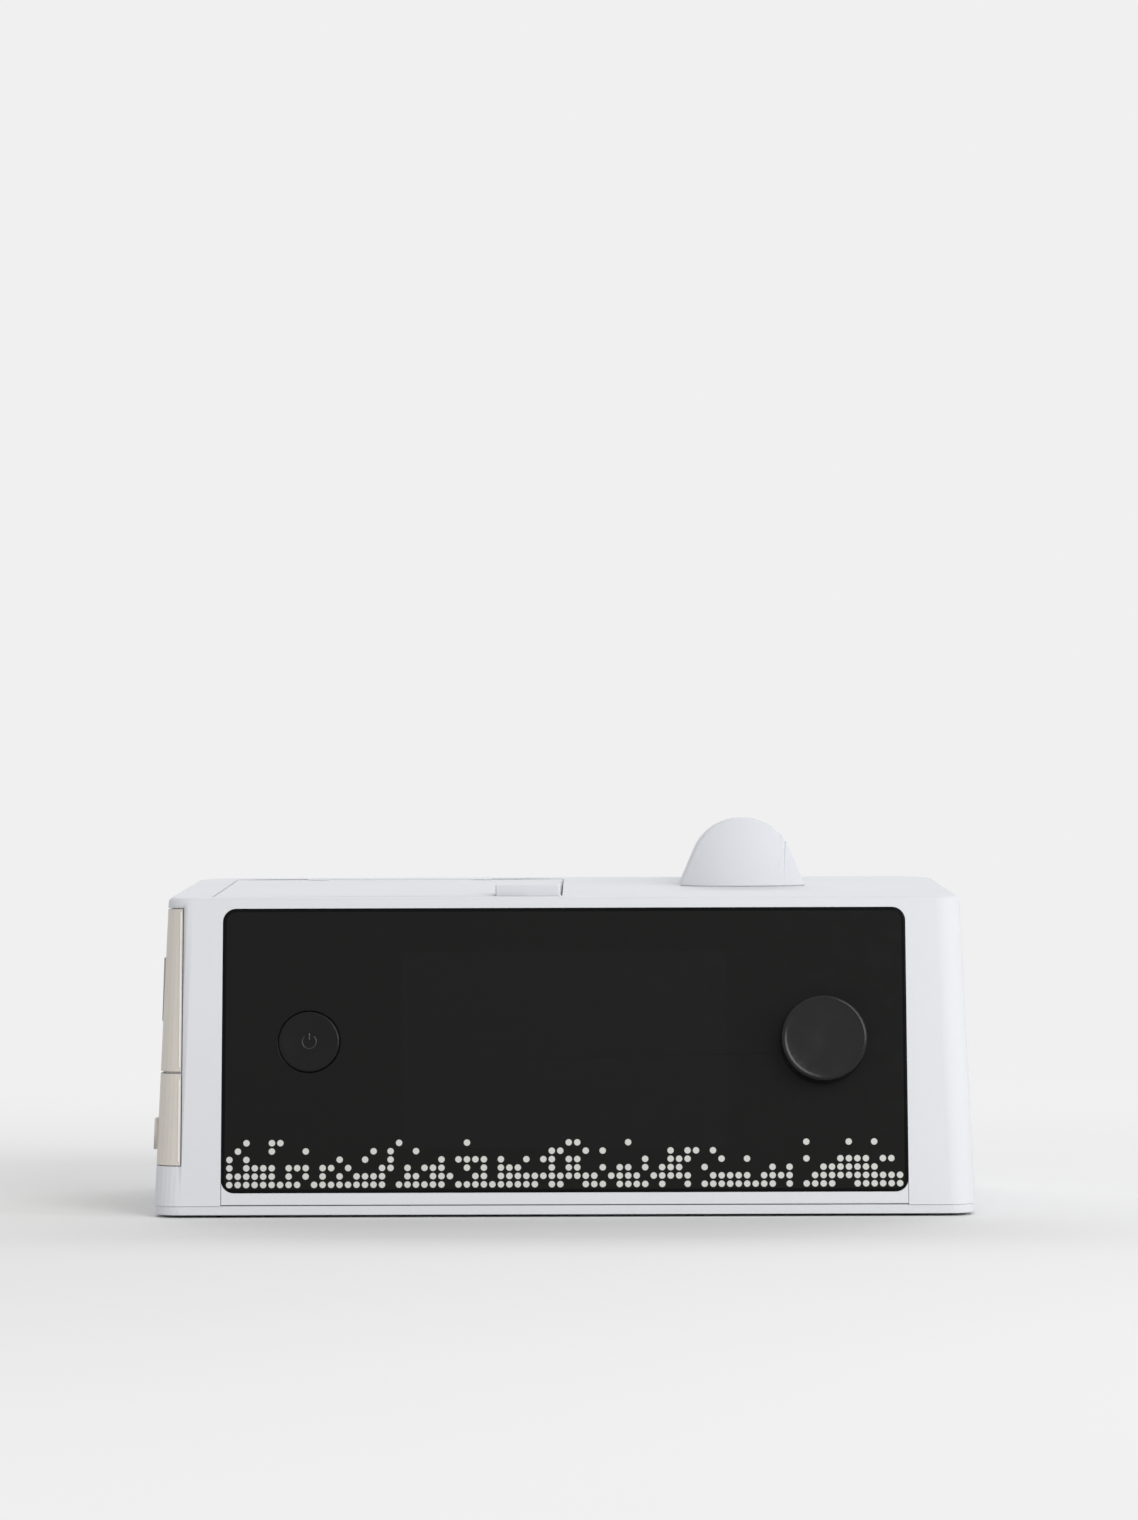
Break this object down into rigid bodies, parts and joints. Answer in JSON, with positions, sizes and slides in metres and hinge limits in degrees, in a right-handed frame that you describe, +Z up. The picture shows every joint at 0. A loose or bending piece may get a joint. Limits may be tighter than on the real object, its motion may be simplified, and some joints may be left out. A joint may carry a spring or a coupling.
{
  "type": "sleep therapy air pressure machine",
  "caption": "Bedside air pressure machine with heated water tank, lift-up lid, black front panel with screen, button and knob, and a rear hose port.",
  "frame": {"origin": "middle of the footprint, on the surface that the feet stand on", "axes": "+X to the right as seen from the front, +Y from the front panel to the rear, +Z up"},
  "size_m": [0.2713, 0.1659, 0.1312],
  "materials": {
    "shell_pale": "fine matte grain",
    "panel_black": "gloss",
    "display_dark": "gloss",
    "button_black": "satin",
    "knob_black": "satin",
    "black_plastic": "matte",
    "side_warm": "matte",
    "port_grey": "satin",
    "duct_plastic": "matte",
    "rear_grey": "matte",
    "scroll_grey": "matte",
    "tank_clear": "clear, polished",
    "heater_alloy": "machined",
    "insulation": "soft",
    "steel": "plated",
    "board_green": "solder mask",
    "filter_foam": "open foam",
    "impeller_white": "satin",
    "winding_copper": "enamelled wire",
    "soft_rubber": "matte",
    "card_blue": "satin"
  },
  "bodies": {
    "machine": {"base_tray": "shell_pale", "main_housing": "shell_pale", "front_bezel": "shell_pale", "front_panel": "panel_black", "display_module": "display_dark", "button_switch": "steel", "encoder_body": "steel", "encoder_nut": "steel", "front_board": "board_green", "front_board_screws": "steel", "main_board": "board_green", "main_board_screws": "steel", "side_cover": "side_warm", "filter_door_pin": "steel", "air_filter": "filter_foam", "filter_frame": "duct_plastic", "inlet_chamber": "duct_plastic", "inlet_duct": "duct_plastic", "blower_scroll_bottom": "scroll_grey", "blower_scroll_top": "scroll_grey", "blower_screws": "steel", "motor_stator": "winding_copper", "motor_bearings": "steel", "blower_mounts": "soft_rubber", "blower_outlet_duct": "duct_plastic", "outlet_duct": "duct_plastic", "duct_seals": "soft_rubber", "outlet_hood": "shell_pale", "outlet_port": "port_grey", "tank_bay": "duct_plastic", "heater_plate": "heater_alloy", "heater_insulator": "insulation", "rear_panel": "rear_grey", "rear_panel_screws": "steel", "power_jack": "black_plastic", "card_socket": "steel", "memory_card": "card_blue", "card_cover_pin": "steel", "rubber_feet": "soft_rubber", "base_screws": "steel"},
    "power_button": {"power_button": "button_black"},
    "knob_push": {"encoder_plunger": "black_plastic"},
    "knob": {"control_knob": "knob_black", "encoder_shaft": "steel"},
    "tank": {"water_tank": "tank_clear", "tank_plate": "steel", "tank_gasket": "soft_rubber", "lid_hinge_pin": "steel"},
    "lid": {"tank_lid": "shell_pale", "latch_spring": "steel"},
    "latch": {"lid_latch": "shell_pale"},
    "filter_door": {"filter_door": "side_warm"},
    "card_cover": {"card_cover": "rear_grey"},
    "impeller": {"impeller": "impeller_white", "rotor_cup": "steel", "motor_shaft": "steel"}
  },
  "joints": [
    {"name": "power_button_press", "type": "slide", "parent": "machine", "child": "power_button", "axis": [0, 0.9877, -0.1564], "range_m": [0, 0.0008], "stiffness_N_per_m": 600},
    {"name": "knob_press", "type": "slide", "parent": "machine", "child": "knob_push", "axis": [0, 0.9877, -0.1564], "range_m": [0, 0.0005], "stiffness_N_per_m": 1200},
    {"name": "knob_turn", "type": "hinge", "parent": "knob_push", "child": "knob", "pos_m": [0.0855, -0.0734, 0.05746], "axis": [0, -0.9877, 0.1564], "continuous": true},
    {"name": "tank_lift", "type": "slide", "parent": "machine", "child": "tank", "axis": [0, 0, 1], "range_m": [0, 0.09]},
    {"name": "lid_hinge", "type": "hinge", "parent": "tank", "child": "lid", "pos_m": [-0.0595, 0.062, 0.10528], "axis": [-1, 0, 0], "range_deg": [0, 90]},
    {"name": "latch_press", "type": "slide", "parent": "lid", "child": "latch", "axis": [0, 0.0349, -0.9994], "range_m": [0, 0.0015], "stiffness_N_per_m": 400},
    {"name": "filter_door_hinge", "type": "hinge", "parent": "machine", "child": "filter_door", "pos_m": [-0.13176, 0.02, 0.03189], "axis": [-0.0358, 0, -0.9994], "range_deg": [0, 100]},
    {"name": "card_cover_hinge", "type": "hinge", "parent": "machine", "child": "card_cover", "pos_m": [0.04, 0.0802, 0.0145], "axis": [-1, 0, 0], "range_deg": [0, 90]},
    {"name": "impeller_spin", "type": "hinge", "parent": "machine", "child": "impeller", "pos_m": [0.07, -0.002, 0.035], "axis": [0, 0, 1], "continuous": true}
  ]
}
